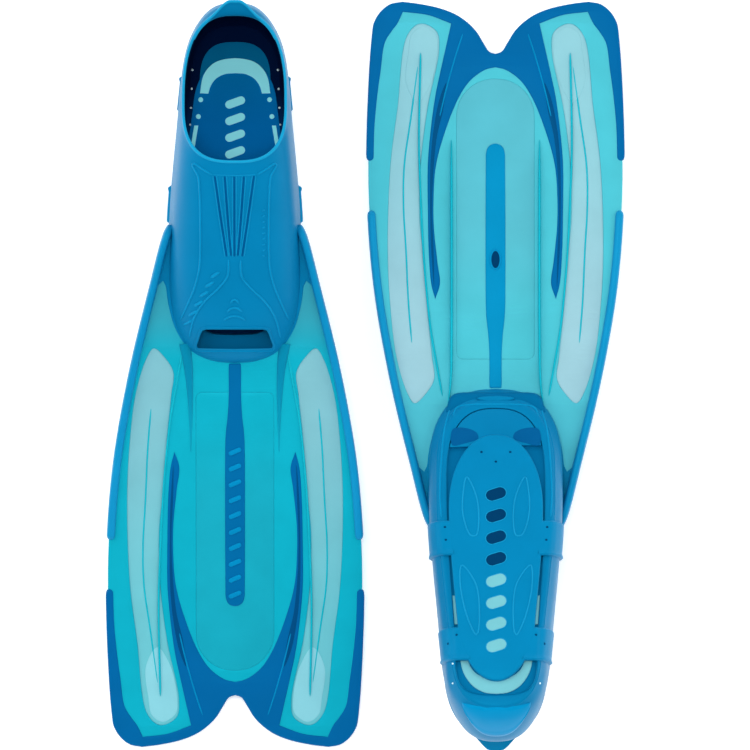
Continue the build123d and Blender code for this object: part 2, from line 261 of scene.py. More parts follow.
def dome_end(gap, length, least):
    """From 0 at an end to 1 once this far from it, rising as a quarter circle does."""
    return math.sqrt(max(1 - (1 - min(gap / length, 1)) ** 2, least))


def bead(path, width, height, taper=6.0, low=-0.4):
    """A rounded raised line along a path, thinning out over its ends."""
    path = np.asarray(path, float)
    run = lengths(path)
    a = np.linspace(0, math.pi, 8)
    unit = np.stack([-np.cos(a), np.sin(a)], 1)

    def section(k):
        f = dome_end(min(run[k], run[-1] - run[k]), taper, 0.004)
        s = unit * [width / 2 * f, height * f]
        return np.vstack([s, [[width / 2 * f, low], [-width / 2 * f, low]]])

    return sweep(path, section)


def sheet(rows):
    """Rows of equal length joined into an open surface."""
    grid = np.array(rows)
    n, m = grid.shape[:2]
    corner = (np.arange(n - 1)[:, None] * m + np.arange(m - 1)).ravel()
    faces = np.stack([corner, corner + 1, corner + m + 1, corner + m], 1).tolist()
    return grid.reshape(-1, 3), faces


def flat_path(points, z):
    p = smooth(points, 2.0)
    return np.column_stack([p, np.full(len(p), z)])


def mirror_x(part):
    points, faces = part
    return points * [-1, 1, 1], [f[::-1] for f in faces]


def turned_over(part):
    """The same part on the other face of the blade."""
    points, faces = part
    return points * [1, 1, -1], [f[::-1] for f in faces]


def pair(part):
    """A part and its mirror image."""
    return part, mirror_x(part)


def on_both_faces(part, mat):
    """A part and its mirror image, on both faces of the blade."""
    return [(q, mat) for p in pair(part) for q in (p, turned_over(p))]


def new_object(name, side, points, faces, index, materials):
    """A mesh object of a fin's points, with the number of a material for each face."""
    mesh = bpy.data.meshes.new(name)
    mesh.from_pydata(place(side, points).tolist(), [], faces)
    for mat in materials:
        mesh.materials.append(mat)
    mesh.polygons.foreach_set("material_index", index)
    mesh.validate()
    obj = bpy.data.objects.new(name, mesh)
    bpy.context.scene.collection.objects.link(obj)
    return obj


def weld(mesh, distance, planes=(), normal=None):
    """Joins points that meet, cuts the mesh at planes that share a normal, and turns its faces outwards."""
    bm = bmesh.new()
    bm.from_mesh(mesh)
    bmesh.ops.remove_doubles(bm, verts=bm.verts, dist=distance)
    for where in planes:
        geom = bm.verts[:] + bm.edges[:] + bm.faces[:]
        bmesh.ops.bisect_plane(bm, geom=geom, dist=JOIN_GAP, plane_co=where, plane_no=normal)
    bmesh.ops.recalc_face_normals(bm, faces=bm.faces)
    bmesh.ops.triangulate(bm, faces=[f for f in bm.faces if len(f.verts) > 4])
    bm.to_mesh(mesh)
    bm.free()


def make(name, side, parts, blend=False, body="blade", cuts=()):
    """A mesh object of (part, material) pairs of one fin, riding on its body, or with blend baked in place
    and left unattached.
    """
    points, faces, index, shift = [], [], [], 0
    materials = []
    for (p, f), mat in parts:
        if mat not in materials:
            materials.append(mat)
        points.append(p)
        faces += [[i + shift for i in face] for face in f]
        index += [materials.index(mat)] * len(f)
        shift += len(p)
    obj = new_object(f"{side}_{name}", side, np.vstack(points), faces, index, materials)
    mesh = obj.data
    weld(mesh, JOIN_GAP, [place(side, [0, y, 0]) for y in cuts], FIN_TURN[side][:, 1])
    mesh.polygons.foreach_set("use_smooth", [True] * len(mesh.polygons))
    mesh.set_sharp_from_angle(angle=math.radians(38))
    store_fin_co(mesh, side)
    if blend:
        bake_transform(obj)
    else:
        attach(obj, f"{side} {body}")
    return obj


def store_fin_co(mesh, side):
    """Each point's place in the fin's own frame, in mm, for the materials' gradients."""
    co = np.zeros(len(mesh.vertices) * 3)
    mesh.vertices.foreach_get("co", co)
    local = (co.reshape(-1, 3) * 1000 - FIN_ORIGIN[side]) @ FIN_TURN[side]
    layer = mesh.attributes.new("fin_co", "FLOAT_VECTOR", "POINT")
    layer.data.foreach_set("vector", local.astype(np.float32).ravel())


# ---- materials ----
def linear(hex_colour):
    v = [int(hex_colour[i:i + 2], 16) / 255 for i in (1, 3, 5)]
    return [((c + 0.055) / 1.055) ** 2.4 if c > 0.04045 else c / 12.92 for c in v] + [1.0]


def add_node(tree, kind, values):
    """A new node, with values for some of its inputs."""
    node = tree.nodes.new(kind)
    for key, value in values.items():
        node.inputs[key].default_value = value
    return node


def add_noise(tree, where, values):
    node = add_node(tree, "ShaderNodeTexNoise", values)
    tree.links.new(where, node.inputs["Vector"])
    return node.outputs["Fac"]


def add_range(tree, source, low, high, to_low=0.0, to_high=1.0, soft=False):
    """A value's range mapped to another one, in a straight line or softly."""
    ends = {"From Min": low, "From Max": high, "To Min": to_low, "To Max": to_high}
    node = add_node(tree, "ShaderNodeMapRange", ends)
    if soft:
        node.interpolation_type = "SMOOTHSTEP"
    tree.links.new(source, node.inputs["Value"])
    return node.outputs[0]


MOTTLE = 0.035
SOFT_BLUE = (0.05, 0.8, 1.0, 1.0)


def moulded(name, colour, second=None, band=None, rough=0.42, grain=0.05, specular=0.4, glow=0.0):
    """Moulded plastic or rubber: slow colour drift, fine grain, faint scuffs in the gloss. With second and
    band, the colour changes to the second one along the fin's Y over that band. With glow, it also
    shines in its own colour: painted light."""
    mat = bpy.data.materials.new(name)
    mat.use_nodes = True
    tree = mat.node_tree
    links = tree.links
    shader = tree.nodes["Principled BSDF"]
    shader.inputs["Specular IOR Level"].default_value = specular * 0.6
    shader.inputs["Specular Tint"].default_value = SOFT_BLUE
    if glow:
        shader.inputs["Emission Color"].default_value = linear(colour)
        shader.inputs["Emission Strength"].default_value = glow
    place_in = tree.nodes.new("ShaderNodeAttribute")
    place_in.attribute_name = "fin_co"
    where = place_in.outputs["Vector"]
    base = tree.nodes.new("ShaderNodeMix")
    base.data_type = "RGBA"
    base.inputs["A"].default_value = linear(colour)
    base.inputs["B"].default_value = linear(second or colour)
    base.inputs["Factor"].default_value = 0.0
    if second:
        split = tree.nodes.new("ShaderNodeSeparateXYZ")
        links.new(where, split.inputs[0])
        links.new(add_range(tree, split.outputs["Y"], *band, soft=True), base.inputs["Factor"])
    slow = add_noise(tree, where, {"Scale": 0.035, "Detail": 3.0})
    tint = tree.nodes.new("ShaderNodeVectorMath")
    tint.operation = "SCALE"
    links.new(base.outputs["Result"], tint.inputs[0])
    links.new(add_range(tree, slow, 0.3, 0.7, 1 - MOTTLE, 1 + MOTTLE), tint.inputs["Scale"])
    links.new(tint.outputs[0], shader.inputs["Base Color"])
    fine = add_noise(tree, where, {"Scale": 1.6, "Detail": 4.0, "Roughness": 0.6})
    links.new(add_range(tree, fine, 0.3, 0.7, rough - 0.06, rough + 0.08), shader.inputs["Roughness"])
    bump = add_node(tree, "ShaderNodeBump", {"Strength": 0.35, "Distance": grain / 1000})
    links.new(fine, bump.inputs["Height"])
    links.new(bump.outputs["Normal"], shader.inputs["Normal"])
    return mat


PLATE = moulded("blade_turquoise", "#3498aa", "#0c9fb5", (238, 284), rough=0.34, specular=0.45)
CHANNEL_MID = moulded("blade_channel", "#0c9fb5", "#159aaf", (310, 400), rough=0.3, specular=0.45)
FROST_TOP = moulded("panel_frosted_top", "#76afba", "#63b3be", (300, 500), rough=0.5, specular=0.35)
FROST_LOW = moulded("panel_frosted_under", "#92bbc6", "#85bbc5", (300, 500), rough=0.5, specular=0.35)
THUMB = moulded("panel_thumb", "#7ec0cc", rough=0.5, specular=0.35)
PLATE_LOW = moulded("blade_under", "#4aafbe", "#47b1bf", (262, 330), rough=0.4, specular=0.4)
MID_LOW = moulded("blade_channel_under", "#47b1bf", "#52abba", (318, 420), rough=0.4, specular=0.4)
RIB = moulded("blade_rib", "#11a7b9", rough=0.3)
RIB_DEEP = moulded("blade_rib_deep", "#057d9e", "#0b92ab", (285, 360), rough=0.3)
TRIM = moulded("trim_elastomer", "#005895", "#015994", (360, 560), rough=0.46, grain=0.08)
TRIM_DARK = moulded("trim_leaf_elastomer", "#013f72", rough=0.46, grain=0.08)
SPINE = moulded("spine_elastomer", "#005d95", rough=0.46, grain=0.08)
SPINE_LOW = moulded("spine_under", "#0281b2", rough=0.46, grain=0.08)
SPINE_MARK = moulded("spine_raised", "#017db1", rough=0.42)
RAIL = moulded("rail_elastomer", "#087daf", "#1085b7", (200, 420), rough=0.38, specular=0.5)
POCKET = moulded("pocket_elastomer", "#0170a1", rough=0.42, grain=0.07, specular=0.5)
# The inside of the shoe: its own dark blue darkened further by painted shade, darker towards the heel.
POCKET_IN_SHADE = moulded("pocket_inside_painted_shade", "#021238", "#04467f", (72, 150), rough=0.7, grain=0.1, specular=0.05)
INSOLE = moulded("insole_elastomer", "#027aba", "#0271ba", (50, 110), rough=0.6, grain=0.12, specular=0.08)
# A lighter blue for the rim and the hem at the heel: a painted highlight along the opening's lip.
POCKET_RIM_HIGHLIGHT = moulded("pocket_rim_painted_highlight", "#1490bd", rough=0.35, specular=0.4)
POCKET_LINE = moulded("pocket_raised_line", "#0680b1", rough=0.38, specular=0.3)
# Darker blue for the narrow grooves: painted shade, on strips that barely stand up.
POCKET_GROOVE_SHADE = moulded("pocket_groove_painted_shade", "#025185", rough=0.5, specular=0.1)
# A dark sheet's colour: painted shade at the toe, inside the shoe.
TOE_SHADE = moulded("toe_painted_shade", "#022450", rough=0.7, grain=0.1, specular=0.05)
POCKET_LOW = moulded("pocket_underside", "#016b9c", "#016191", (180, 260), rough=0.5, grain=0.12,
                     specular=0.2)
# Painted shade for the recesses at the front corners of the toe's underside.
POCKET_RECESS_SHADE = moulded("pocket_recess_painted_shade", "#04548a", rough=0.6, specular=0.1)
SOLE_HEEL = moulded("heel_tread_elastomer", "#0084b9", rough=0.36, specular=0.35)
# The pale frame's own colour, made to glow: painted light inside the shoe.
SOLE_FRAME_IN_GLOW = moulded("sole_frame_inside_painted_glow", "#7fd2dc", rough=0.5, specular=0.15, glow=0.3)
SOLE = moulded("outsole_elastomer", "#0177a8", rough=0.46, grain=0.08)
SOLE_FRAME = moulded("sole_frame_plastic", "#6fb6c0", rough=0.36)
SOLE_MARK = moulded("outsole_raised", "#108cbc", rough=0.4)
HOLE = moulded("hole_shadow", "#02355e", rough=0.7, specular=0.1)
# Near-white: painted glints of light at the heel's pin holes.
GLINT = moulded("pin_hole_painted_glint", "#d8f2f8", rough=0.5)


def by_side(part, top, low):
    """One part as two: the faces that look clearly down get their own material."""
    points, faces = part
    up, down = [], []
    for f in faces:
        a, b, c = points[f[0]], points[f[1]], points[f[2]]
        n = np.cross(b - a, c - a)
        (down if n[2] < -0.2 * max(np.linalg.norm(n), 1e-9) else up).append(f)
    return [((points, up), top), ((points, down), low)]


# ---- blade ----
def shifted_edge(shift, y0, y1, every=2):
    """The outer edge between two lengths, shifted towards the middle, with every so many of its points."""
    p = smooth(OUTER_EDGE, 1.0)
    return p[(p[:, 1] >= y0) & (p[:, 1] <= y1)][::every] - [shift, 0]


def blade_outline():
    """The plate's own outline: bare at its sides, and reaching under the trim and the rails."""
    side = shifted_edge(1.8, 214.0, 556.0)
    tip = smooth([(92.5, 560.0), (89.5, 569.0), (80.0, 577.0), (72.0, 579.0), (44.0, 573.5), (26.0, 563.0),
                  (13.0, 547.5), (6.0, 538.5), (0.0, 536.5)], 2.0)
    rear = [(0.0, 281.0), (20.0, 279.4), (33.0, 270.6), (42.6, 250.0), (45.0, 228.0), (46.0, 213.5)]
    return mirror_close(np.vstack([np.array(rear), side, tip]))


RIB_LINE = [(41.0, 277.0), (45.6, 303.0), (50.0, 329.0), (54.6, 374.0), (57.2, 419.0), (59.0, 470.0),
            (57.8, 543.5)]
PANEL_RIB_LINE = [(64.6, 318.0), (67.2, 350.0), (69.0, 389.0), (71.0, 426.0), (70.4, 455.5), (65.3, 493.0),
                  (59.4, 537.0)]
STRINGER_LINE = [(37.5, 262.0), (34.6, 290.0), (34.0, 320.0), (34.0, 476.0)]
THUMB_LOOP = [(46.0, 557.0), (44.6, 547.0), (49.5, 521.0), (60.0, 505.0), (69.0, 520.0), (67.0, 545.0),
              (64.5, 558.0), (56.0, 563.5)]


def make_blade(side):
    panel = ccw(smooth(SIDE_PANEL, 2.0, closed=True))
    middle = rounded_box(30.0, 306.0, 523.0, 29.0)
    plate = slab([blade_outline(), panel, flip(panel), middle], -PLATE_HALF, PLATE_HALF, 0.5, 0.5)
    parts = by_side(plate, PLATE, PLATE_LOW)
    for p in pair(slab([panel], -0.7, 0.75, 0.2, 0.2)):
        parts += by_side(p, FROST_TOP, FROST_LOW)
    for p in pair(slab([smooth(THUMB_LOOP, 2.0, closed=True)], -1.0, 1.0, 0.3, 0.3)):
        parts += by_side(p, THUMB, FROST_LOW)
    parts += by_side(slab([middle], -MIDDLE_HALF, MIDDLE_HALF, 0.3, 0.3), CHANNEL_MID, MID_LOW)
    parts += on_both_faces(bead(flat_path(RIB_LINE, 1.4), 1.7, 1.1, taper=10), RIB)
    parts += on_both_faces(bead(flat_path(PANEL_RIB_LINE, 0.65), 1.3, 0.5, taper=14), RIB)
    parts += [(q, RIB_DEEP) for q in pair(stringer_rib())]
    parts += [(turned_over(q), RIB) for q in pair(bead(flat_path(STRINGER_LINE, 1.3), 2.6, 4.6, taper=60))]
    obj = make("blade_sheet", side, parts, blend=True, cuts=np.arange(282.0, 354.0, 4.0))
    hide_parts(f"{side}_blade", f"{side}_blade_root")


def stringer_rib():
    """The broad raised root of a stiffening rib on top of the blade, running out by a third of the way."""
    path = flat_path([(38.5, 268.0), (36.0, 285.0), (34.6, 305.0), (34.0, 330.0), (34.0, 352.0)], 1.4)
    count = len(path)
    a = np.linspace(0, math.pi, 10)

    def section(k):
        f = 1 - k / (count - 1)
        half = 0.5 + 4.0 * f**1.3
        s = np.stack([-np.cos(a) * half, np.sin(a) * (0.3 + 1.8 * f)], 1)
        return np.vstack([s, [[half, -0.4], [-half, -0.4]]])

    return sweep(path, section)


def rounded_box(half, y0, y1, r):
    """A right-hand half of a long rounded shape, closed by its mirror image."""
    a = np.linspace(0, math.pi / 2, 16)
    end = np.stack([half - r + r * np.sin(a), y1 - r + r * np.cos(a)], 1)
    start = np.stack([half - 5 + 5 * np.cos(a), y0 + 5 - 5 * np.sin(a)], 1)
    straight = np.stack([np.full(40, half), np.linspace(y1 - r, y0 + 5, 42)[1:-1]], 1)
    return mirror_close(np.vstack([[[0, y1]], end, straight, start, [[0, y0]]]))


def trim_loops():
    """The dark elastomer's right-hand outline, from the notch round its edge strip, leaf and channel."""
    strip_out = shifted_edge(0.0, 464.0, 557.0)[::-1]
    cap = np.array([(94.1, 461.6), (95.3, 460.0), (97.2, 459.5), (98.9, 460.4), (99.6, 462.0)])
    loop = [smooth(LOBE, 1.2)[::-1], smooth(CORNER, 1.2)[::-1][1:], strip_out, cap[::-1],
            smooth(PANEL_SIDE, 1.5)[::-1], smooth(PANEL_FOOT, 1.5)[::-1][1:], smooth(LEAF_OUT, 1.5)[::-1][1:],
            smooth(CHANNEL, 1.5)[::-1][1:]]
    return mirror_close(np.vstack(loop))


def make_trim(side):
    parts = [(slab([trim_loops()], -TRIM_HALF, TRIM_HALF, 0.9, 0.9, steps=4), TRIM)]
    line = [(43.2, 493.0), (38.0, 515.0), (31.0, 540.0), (25.0, 558.5)]
    parts += on_both_faces(bead(flat_path(line, TRIM_HALF - 0.1), 1.2, 0.55, taper=8), SPINE_MARK)
    leaf = smooth([(47.4, 362.0), (49.6, 390.0), (50.4, 420.0), (50.2, 455.0), (48.0, 482.0), (43.0, 508.0),
                   (38.0, 520.0), (40.2, 500.0), (45.2, 478.0), (48.0, 450.0), (49.0, 420.0), (47.8, 390.0)],
                  2.0, closed=True)
    parts += on_both_faces(slab([leaf], 1.9, TRIM_HALF + 0.1, 0.1, 0.1), TRIM_DARK)
    obj = make("tip_trim_visual", side, parts)
    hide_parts(f"{side}_tip_trim")


def make_spine(side):
    """The strip along the middle, with raised bars on top and a small rimmed hole underneath."""
    half = [(0.0, 283.5), (4.6, 283.8), (4.8, 286.0), (4.8, 300.0), (4.9, 312.0), (5.6, 324.0), (7.0, 337.0),
            (7.5, 346.0), (7.5, 460.0), (7.4, 465.0), (6.0, 469.8), (3.4, 472.2), (0.0, 473.0)]
    loop = mirror_close(smooth(half, 1.5))
    parts = by_side(slab([loop], -TRIM_HALF, TRIM_HALF, 1.0, 1.0, steps=4), SPINE, SPINE_LOW)
    for i in range(10):
        bar = slanted_bar(352.0 + 12.4 * i, 24.0, 10.5, 3.6)
        parts.append((slab([bar], 2.0, 2.95, 0.5, 0.1), SPINE_MARK))
    hole_y = 383.0
    rim = slab([oval(0, hole_y, 4.6, 8.2), oval(0, hole_y, 3.1, 6.6)], -2.8, -1.8, 0.1, 0.4)
    parts += [(rim, SPINE_MARK), (slab([oval(0, hole_y, 3.3, 6.8)], -2.35, -1.6, 0.05, 0.05), HOLE)]
    obj = make("blade_spine_visual", side, parts, blend=True, cuts=np.arange(286.0, 352.0, 4.0))
    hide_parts(f"{side}_blade_spine")


def oval(x, y, rx, ry, n=40):
    a = np.linspace(0, 2 * math.pi, n, endpoint=False)
    return np.stack([x + rx * np.cos(a), y + ry * np.sin(a)], 1)


def slanted_bar(y, degrees, length, width):
    a = np.linspace(0, math.pi, 9)
    half = (length - width) / 2
    right = np.stack([half + width / 2 * np.sin(a), -width / 2 * np.cos(a)], 1)
    loop = np.vstack([right, -right])
    c, s = math.cos(math.radians(degrees)), math.sin(math.radians(degrees))
    return loop @ np.array([[c, s], [-s, c]]) + [0.0, y]


def make_rails(side):
    """The side rails, unbroken from beside the shoe to halfway along the blade."""
    path = shifted_edge(RAIL_WIDTH_HALF, 176.0, 422.0, 1)
    path = np.column_stack([path, np.zeros(len(path))])
    a = np.linspace(0, 2 * math.pi, 24, endpoint=False)
    round_box = np.stack([np.cos(a), np.sin(a)], 1)
    round_box = np.sign(round_box) * np.abs(round_box) ** 0.62

    def section(k):
        y = path[k, 1]
        high = RAIL_HALF_REAR + (RAIL_HALF_FRONT - RAIL_HALF_REAR) * (y - 178.0) / (422.0 - 178.0)
        front = dome_end(path[-1, 1] - y, 4.5, 0.002)
        rear = dome_end(y - path[0, 1], 9.0, 0.002)
        return round_box * [RAIL_WIDTH_HALF * front * (0.5 + 0.5 * rear), high * front * rear * 0.985]

    rail = sweep(path, section)
    for letter, part in (("a", mirror_x(rail)), ("b", rail)):
        obj = make(f"side_rail_visual_{letter}", side, [(part, RAIL)], blend=True)
        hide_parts(f"{side}_side_rail_{letter}")


# ---- foot pocket ----
SLICES = np.array([
    # heel y, heel z, front y, front z, half width, how oval
    (-13.0, -1.7, 238.0, -3.5, 45.0, 0.0),
    (-19.5, 9.0, 250.0, 9.0, 51.0, 0.0),
    (-24.0, 26.0, 241.0, 26.0, 51.0, 0.1),
    (-25.5, 42.0, 211.0, 46.0, 47.5, 0.4),
    (-21.5, 54.0, 158.0, 68.0, 43.5, 0.8),
    (-14.5, 63.0, 103.0, 88.0, 39.8, 1.0),
    (-24.8, 78.0, 86.0, 100.0, 38.0, 1.0),
])
FOOT_ENDS = np.array((0.16, 2.45, 0.25, 2.6, 0.72))
OVAL_ENDS = np.array((0.60, 2.6, 0.40, 2.8, 1.0))
TRAY_ENDS = (0.11, 3.2, 0.25, 2.6, 0.80)
RIM_LEVEL = 4.93
RING_POINTS = 560
TURN = np.linspace(0, 2 * math.pi, RING_POINTS, endpoint=False)
T_RING = (1 - np.cos(TURN)) / 2
SIDE_RING = np.where(TURN < math.pi, 1.0, -1.0)


def half_width(t, ends):
    heel, heel_power, front, front_power, heel_share = ends
    s = np.minimum(t / 0.7, 1.0)
    width = heel_share + (1 - heel_share) * s * s * (3 - 2 * s)
    h = np.clip(1 - t / heel, 0, 1)
    f = np.clip((t - 1 + front) / front, 0, 1)
    return width * (1 - h**heel_power) ** (1 / heel_power) * (1 - f**front_power) ** (1 / front_power)


def foot_outline(heel_y, toe_y, width, ends):
    """A foot-shaped loop, with one point for each of a ring's points."""
    return np.stack([SIDE_RING * width * half_width(T_RING, ends), heel_y + (toe_y - heel_y) * T_RING], 1)


def slice_at(level):
    """The slice's numbers at a level from 0 to 6, smooth through the given ones."""
    p = np.vstack([2 * SLICES[0] - SLICES[1], SLICES, 2 * SLICES[-1] - SLICES[-2]])
    i = min(int(level), len(SLICES) - 2)
    u = level - i
    a, b, c, d = p[i:i + 4]
    return 0.5 * (2 * b + (c - a) * u + (2 * a - 5 * b + 4 * c - d) * u**2 + (3 * b - a - 3 * c + d) * u**3)


def ring(level, grow=0.0):
    heel_y, heel_z, front_y, front_z, width, oval_share = slice_at(level)
    ends = FOOT_ENDS + (OVAL_ENDS - FOOT_ENDS) * oval_share
    heel_y, front_y = heel_y - grow, front_y + grow
    x = SIDE_RING * (width + grow) * half_width(T_RING, ends)
    return np.stack([x, heel_y + (front_y - heel_y) * T_RING, heel_z + (front_z - heel_z) * T_RING], 1)


def ring_by_level(levels, grow=0.0):
    """A ring whose level differs from point to point, for the rim's heel tab."""
    out = np.zeros((RING_POINTS, 3))
    grow = np.broadcast_to(grow, (RING_POINTS,))
    flat = np.unique(np.round(levels, 4))
    for level in flat:
        pick = np.abs(levels - level) < 1e-4
        for g in np.unique(grow[pick]):
            both = pick & (grow == g)
            out[both] = ring(level, g)[both]
    return out


def tab_share():
    """How far each rim point stands up in the heel tab, from 0 to 1."""
    x = np.abs(ring(RIM_LEVEL)[:, 0])
    s = np.clip((25.0 - x) / 22.0, 0, 1)
    return np.where(T_RING < 0.3, s * s * (3 - 2 * s), 0.0)


OUTSIDE, INSIDE, RIM = range(3)
TAB_RISE = 0.84  # the heel tab, in levels above the rim
RIM_PITCH = 11


def level_ring(loop, z):
    return np.column_stack([loop, np.full(len(loop), z)])


def pocket_shell():
    """The shoe's skin as one closed surface of rings, in the foot frame: outside, rim, inside and tray."""
    share = tab_share()
    rings, kinds = [], []

    def add(points, kind=OUTSIDE):
        rings.append(points)
        kinds.append(kind)

    def raised(level, grow):
        f = level / RIM_LEVEL
        if f < 0.8:
            return ring(level, grow)
        return ring_by_level(level + TAB_RISE * share * min((f - 0.8) / 0.2, 1), grow)

    first = ring(0.0)
    for a in np.linspace(0, math.pi / 2, 5)[:-1]:  # the rounded bottom edge
        add(ring(0.06 * math.sin(a), -2.0 * (1 - math.sin(a))) + [0, 0, 1.2 * (1 - math.cos(a))])
    for level in np.concatenate([np.linspace(0.12, 1.0, 12), np.linspace(1.0, RIM_LEVEL, 150)[1:]]):
        add(raised(level, round(0.5 * max((level / RIM_LEVEL - 0.96) / 0.04, 0) ** 2, 3)))
    outer_top, inner_top = rings[-1], raised(RIM_LEVEL, -RIM_WALL)
    middle = (outer_top + inner_top) / 2
    lift = turn("x", RIM_PITCH)[:, 2]
    for a in np.linspace(0, math.pi, 9)[1:-1]:  # the rounded rim
        add(middle + (outer_top - middle) * math.cos(a) + lift * 1.2 * math.sin(a), RIM)
    for level in np.linspace(RIM_LEVEL, 0.55, 44):
        thinner = (WALL - RIM_WALL) * max((level / RIM_LEVEL - 0.86) / 0.14, 0)
        add(raised(level, round(thinner - WALL, 3)), INSIDE)
    add(ring(0.52, -WALL - 0.4) * [1, 1, 0] + [0, 0, FLOOR_TOP], INSIDE)
    window = foot_outline(-0.8, 226.0, 35.0, (0.13, 2.7, 0.25, 2.6, 0.76))
    tray = foot_outline(-3.5, 230.0, 38.0, TRAY_ENDS)
    low = first[:, 2] + 0.1 * (1 - T_RING)
    add(level_ring(window, FLOOR_TOP), INSIDE)
    add(level_ring(window, 0.0))
    add(level_ring(tray, 0.0))
    add(level_ring(tray, TRAY_LOW))
    add(np.column_stack([tray + inward(tray) * -0.3, low + 0.2]))
    add(np.column_stack([tray + inward(tray) * -0.9, low]))
    add(np.column_stack([(first[:, :2] + tray) / 2, low]))
    points, faces = skin(rings, loop=True)
    face_kind = []
    for f in faces:
        ends = kinds[f[0] // RING_POINTS], kinds[f[2] // RING_POINTS]
        kind = RIM if RIM in ends else min(ends)
        # The heel tab's inner face, high up, takes the outside colour instead of the inside's painted shade.
        if kind == INSIDE and share[f[0] % RING_POINTS] > 0.02 and points[f[0], 2] > 61.5:
            kind = OUTSIDE
        face_kind.append(kind)
    return points, faces, face_kind


FAR = 200.0  # well outside the shoe, in mm


class Skin:
    """The shoe's surface, for laying details on it."""

    def __init__(self, points, faces):
        self.foot_tree = BVHTree.FromPolygons([Vector(p) for p in points], faces)
        self.fin_tree = BVHTree.FromPolygons([Vector(p) for p in foot(points)], faces)

    def above(self, xy):
        """Points on the skin, plumb under these plan points of a fin that lies sole down."""
        return self.cast(xy, UPRIGHT["top"])

    def below(self, xy, lift=0.0):
        """The same for a fin that lies sole up, this far out from the skin."""
        return self.cast(xy, UPRIGHT["sole"], lift)

    def beside(self, y, z, sign):
        """How far out the skin is at this height and length of the foot frame."""
        hit = self.foot_tree.ray_cast(Vector((FAR * sign, y, z)), Vector((-sign, 0, 0)))[0]
        return abs(hit.x)

    def cast(self, xy, upright, lift=0.0):
        out = []
        way = Vector(-upright)
        for x, y in xy:
            hit, normal = self.fin_tree.ray_cast(Vector(np.array([x, y, 0]) + FAR * upright), way)[:2]
            if hit is None:
                continue
            if normal.dot(way) > 0:
                normal = -normal
            out.append(hit + normal * lift)
        return np.array([list(p) for p in out])


def make_pocket(side):
    raw, faces, face_kind = pocket_shell()
    points = foot(raw)
    parts = []
    # The inside faces take the inside's painted shade, and the rim faces the rim's painted highlight.
    for kind, mat in ((OUTSIDE, POCKET), (INSIDE, POCKET_IN_SHADE), (RIM, POCKET_RIM_HIGHLIGHT)):
        parts.append(((points, [f for f, k in zip(faces, face_kind) if k == kind]), mat))
    # The hem takes the rim's painted highlight.
    line = ring(4.9, -1.4)  # a hem inside the rim at the heel
    line = line[np.argsort((np.arange(RING_POINTS) + RING_POINTS // 2) % RING_POINTS)]
    line = line[line[:, 1] < 8.0] @ turn("x", RIM_PITCH).T
    hem_points, hem_faces = bead(line, 1.5, 1.0, taper=3.0, low=-1.0)
    parts.append(((foot(hem_points @ turn("x", RIM_PITCH)), hem_faces), POCKET_RIM_HIGHLIGHT))
    obj = make("foot_pocket_visual", side, parts, body="foot pocket")
    cut_toe_slot(obj, side)
    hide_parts(f"{side}_foot_pocket")
    return Skin(raw, faces)


FLANGE_IN = [(0.0, 280.0), (20.5, 278.0), (34.5, 268.0), (44.0, 248.0), (46.0, 222.0), (46.3, 200.0),
             (45.5, 177.0)]
FLANGE_TOP = [(50.0, 176.0), (54.0, 190.0), (58.6, 206.0), (62.0, 221.0), (60.2, 224.5), (57.6, 221.5),
              (55.2, 219.5), (53.4, 223.0), (52.2, 232.0), (51.0, 239.0), (46.6, 254.7), (39.8, 267.0),
              (30.8, 275.8), (16.0, 281.8), (0.0, 283.4)]
FLANGE_IN_LOW = [(0.0, 262.0), (20.0, 260.0), (32.0, 250.0), (40.0, 232.0), (42.0, 215.0), (42.5, 205.0),
                 (43.0, 177.0)]
FLANGE_LOW = [(50.0, 176.0), (53.0, 192.0), (52.0, 206.0), (50.3, 214.0), (45.8, 240.0), (41.2, 256.0),
              (37.4, 269.0), (35.6, 275.0), (31.8, 278.6), (26.0, 279.6), (0.0, 279.6)]


def make_flange(side):
    """The soft web beside the shoe and the lip round its toe, where it is moulded onto the blade."""
    parts = []
    loop = mirror_close(np.vstack([smooth(FLANGE_IN, 3.0), smooth(FLANGE_TOP, 2.0)]))
    parts.append((slab([loop], -1.7, 2.3, 1.3, 0.9, steps=4), POCKET))
    loop = mirror_close(np.vstack([smooth(FLANGE_IN_LOW, 3.0), smooth(FLANGE_LOW, 2.0)]))
    points, faces = slab([loop], -12.5, -1.5, 0.3, 4.0, steps=8)
    y, z = points[:, 1], points[:, 2]
    deeper = np.clip((y - 177.0) / 90.0, 0, 1)  # shallow beside the shoe, deep round the toe
    points[:, 2] = np.where(z < -2.0, z * (0.35 + 0.65 * deeper), z)
    parts.append(((points, faces), POCKET_LOW))
    parts.append((slab([oval(0, 274.6, 14.5, 2.1)], -14.3, -11.0, 0.3, 0.8), POCKET))
    obj = make("pocket_flange", side, parts, body="foot pocket")


def both(points):
    """A line and its mirror image."""
    p = np.asarray(points, float)
    return [p, p * [-1, 1]]


def on_top(shoe, line, width, height, taper=5.0, step=1.2, low=-0.5):
    """A raised line on top of the shoe, given by its plan."""
    return bead(shoe.above(smooth(line, step)), width, height, taper=taper, low=low)


def under(shoe, line, width, height):
    """The same, on the side that faces down."""
    path = shoe.below(smooth(line, 1.2)) * [1, 1, -1]
    return turned_over(bead(path, width, height, taper=5.0, low=-0.5))


INSTEP_LINES = [
    [(17.0, 137.6), (24.5, 133.0), (30.8, 128.8), (32.2, 129.4), (31.0, 132.5), (27.9, 138.5), (26.8, 150.0),
     (26.2, 174.0), (26.6, 205.4), (28.2, 216.0), (31.2, 226.2), (36.0, 237.5), (41.6, 249.6)],
    [(4.7, 203.0), (4.8, 212.5), (6.2, 217.5), (13.0, 226.0), (22.1, 234.5), (28.4, 243.0), (31.9, 250.5),
     (35.2, 264.0)],
]
INSTEP_GROOVES = [[(0.0, 138.6), (0.0, 201.0)], [(7.4, 138.4), (5.0, 172.0), (2.6, 200.5)],
                  [(15.1, 138.0), (10.6, 170.0), (5.9, 201.0)]]


